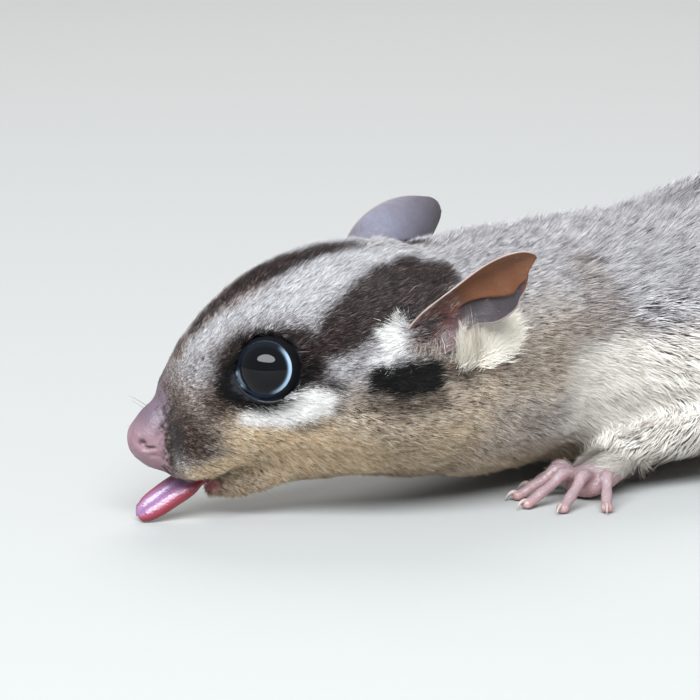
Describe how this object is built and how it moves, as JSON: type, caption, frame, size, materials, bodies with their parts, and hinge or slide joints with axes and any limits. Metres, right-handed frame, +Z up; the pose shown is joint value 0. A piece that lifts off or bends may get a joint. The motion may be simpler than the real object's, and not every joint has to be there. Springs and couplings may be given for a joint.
{
  "type": "sugar glider figure",
  "caption": "Life-size sugar glider crouched on all fours, neck stretched forward, tongue out, bushy tail laid on the floor behind it.",
  "frame": {"origin": "middle of the whole figure's underside, on the floor that it rests on", "axes": "+Z up, the nose points to -Y, the tail runs to +Y, +X is the animal's left side"},
  "size_m": [0.0612, 0.3334, 0.0387],
  "materials": {
    "coat_grey": "dense short grey-brown fur with pale tips",
    "coat_cream": "dense short cream and buff fur",
    "coat_dark": "dark brown-black fur",
    "bare_skin": "bare pink-grey skin, softly wrinkled, with pale claws",
    "ear_skin": "thin bare ear skin, grey-brown with a soft sheen",
    "tongue": "moist, finely grained",
    "eye": "wet, mirror-like black"
  },
  "bodies": {
    "root": {"head": "coat_grey", "nose": "bare_skin", "lower_jaw": "coat_cream", "tongue": "tongue", "eye_left": "eye", "eye_right": "eye", "ear_left": "ear_skin", "ear_right": "ear_skin", "neck": "coat_grey", "torso": "coat_grey", "patagium_left": "coat_cream", "patagium_right": "coat_cream", "upper_arm_left": "coat_grey", "upper_arm_right": "coat_grey", "forearm_left": "coat_cream", "forearm_right": "coat_cream", "hand_left": "bare_skin", "hand_right": "bare_skin", "thigh_left": "coat_grey", "thigh_right": "coat_grey", "shin_left": "coat_cream", "shin_right": "coat_cream", "foot_left": "bare_skin", "foot_right": "bare_skin", "tail_1": "coat_grey", "tail_2": "coat_grey", "tail_3": "coat_grey", "tail_4": "coat_dark"}
  },
  "joints": []
}
